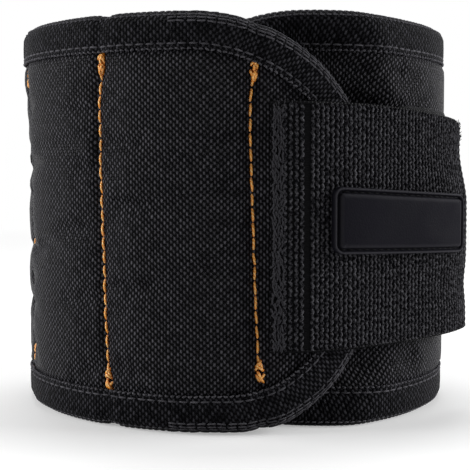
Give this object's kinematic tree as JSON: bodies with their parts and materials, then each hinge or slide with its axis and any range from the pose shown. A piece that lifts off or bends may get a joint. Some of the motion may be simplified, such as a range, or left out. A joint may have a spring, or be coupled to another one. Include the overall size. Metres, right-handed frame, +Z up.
{
  "type": "magnetic wristband",
  "caption": "Quilted fabric tool wristband with magnets sewn into its cells, edge binding, and a webbing strap with hook and loop that closes it round the wrist.",
  "frame": {"origin": "on the axis of the rolled band, level with the lower edge that it stands on", "axes": "+Z up along the wrist, the front with the strap faces -Y, the strap runs towards +X"},
  "size_m": [0.1039, 0.1006, 0.088],
  "materials": {
    "shell_nylon": "black ballistic nylon, basket weave, slight sheen",
    "pad_foam": "dark grey open-cell foam",
    "mesh_lining": "black air mesh, matt",
    "binding_tape": "black twill tape, folded over the edge",
    "magnet_nickel": "bright nickel plate",
    "strap_webbing": "black ribbed webbing",
    "hook_tape": "black moulded nylon hooks",
    "loop_tape": "black brushed loop pile",
    "patch_rubber": "soft moulded rubber, satin"
  },
  "bodies": {
    "flap": {"shell_flap": "shell_nylon", "foam_flap": "pad_foam", "lining_flap": "mesh_lining", "binding_flap": "binding_tape", "strap_sewn_end": "strap_webbing"},
    "cell_1": {"shell_cell_1": "shell_nylon", "foam_cell_1": "pad_foam", "lining_cell_1": "mesh_lining", "binding_top_cell_1": "binding_tape", "binding_bottom_cell_1": "binding_tape", "magnet_cell_1_upper": "magnet_nickel", "magnet_cell_1_lower": "magnet_nickel"},
    "cell_2": {"shell_cell_2": "shell_nylon", "foam_cell_2": "pad_foam", "lining_cell_2": "mesh_lining", "binding_top_cell_2": "binding_tape", "binding_bottom_cell_2": "binding_tape", "magnet_cell_2_upper": "magnet_nickel", "magnet_cell_2_lower": "magnet_nickel"},
    "cell_3": {"shell_cell_3": "shell_nylon", "foam_cell_3": "pad_foam", "lining_cell_3": "mesh_lining", "binding_top_cell_3": "binding_tape", "binding_bottom_cell_3": "binding_tape", "magnet_cell_3_upper": "magnet_nickel", "magnet_cell_3_lower": "magnet_nickel"},
    "cell_4": {"shell_cell_4": "shell_nylon", "foam_cell_4": "pad_foam", "lining_cell_4": "mesh_lining", "binding_top_cell_4": "binding_tape", "binding_bottom_cell_4": "binding_tape", "magnet_cell_4_upper": "magnet_nickel", "magnet_cell_4_lower": "magnet_nickel"},
    "cell_5": {"shell_cell_5": "shell_nylon", "foam_cell_5": "pad_foam", "lining_cell_5": "mesh_lining", "binding_top_cell_5": "binding_tape", "binding_bottom_cell_5": "binding_tape", "magnet_cell_5_upper": "magnet_nickel", "magnet_cell_5_lower": "magnet_nickel"},
    "tail_1": {"shell_tail_1": "shell_nylon", "foam_tail_1": "pad_foam", "lining_tail_1": "mesh_lining", "binding_top_tail_1": "binding_tape", "binding_bottom_tail_1": "binding_tape", "loop_tape_rear": "loop_tape"},
    "tail_2": {"shell_tail_2": "shell_nylon", "foam_tail_2": "pad_foam", "lining_tail_2": "mesh_lining", "binding_top_tail_2": "binding_tape", "binding_bottom_tail_2": "binding_tape", "loop_tape_front": "loop_tape"},
    "tail_end": {"shell_tail_end": "shell_nylon", "foam_tail_end": "pad_foam", "lining_tail_end": "mesh_lining", "binding_tail_end": "binding_tape"},
    "strap": {"strap_webbing": "strap_webbing", "hook_tape": "hook_tape", "rubber_patch": "patch_rubber"}
  },
  "joints": [
    {"name": "band_open", "type": "hinge", "parent": "cell_3", "child": "cell_4", "pos_m": [-0.03932, 0.03072, 0.044], "axis": [0, 0, 1], "range_deg": [0, 46]},
    {"name": "fold_5", "type": "hinge", "parent": "cell_4", "child": "cell_5", "pos_m": [-0.00522, 0.04963, 0.044], "axis": [0, 0, 1], "range_deg": [0, 46.5]},
    {"name": "fold_6", "type": "hinge", "parent": "cell_5", "child": "tail_1", "pos_m": [0.03207, 0.03823, 0.044], "axis": [0, 0, 1], "range_deg": [0, 53]},
    {"name": "fold_7", "type": "hinge", "parent": "tail_1", "child": "tail_2", "pos_m": [0.04993, -0.0088, 0.044], "axis": [0, 0, 1], "range_deg": [0, 60]},
    {"name": "fold_8", "type": "hinge", "parent": "tail_2", "child": "tail_end", "pos_m": [0.01432, -0.03934, 0.044], "axis": [0, 0, 1], "range_deg": [0, 60]},
    {"name": "fold_3", "type": "hinge", "parent": "cell_3", "child": "cell_2", "pos_m": [-0.04941, -0.00694, 0.044], "axis": [0, 0, -1], "range_deg": [0, 47]},
    {"name": "fold_2", "type": "hinge", "parent": "cell_2", "child": "cell_1", "pos_m": [-0.0279, -0.04137, 0.044], "axis": [0, 0, -1], "range_deg": [0, 43]},
    {"name": "fold_1", "type": "hinge", "parent": "cell_1", "child": "flap", "pos_m": [0.00383, -0.04975, 0.044], "axis": [0, 0, -1], "range_deg": [0, 37]},
    {"name": "strap_peel", "type": "hinge", "parent": "flap", "child": "strap", "pos_m": [0.01686, -0.04898, 0.044], "axis": [0, 0, -1], "range_deg": [0, 97]}
  ],
  "couplings": [
    {"joint": "fold_5", "follows": "band_open", "ratio": 1},
    {"joint": "fold_6", "follows": "band_open", "ratio": 1.15},
    {"joint": "fold_7", "follows": "band_open", "ratio": 1.3},
    {"joint": "fold_8", "follows": "band_open", "ratio": 1.3},
    {"joint": "fold_3", "follows": "band_open", "ratio": 1.02},
    {"joint": "fold_2", "follows": "band_open", "ratio": 0.93},
    {"joint": "fold_1", "follows": "band_open", "ratio": 0.8}
  ]
}
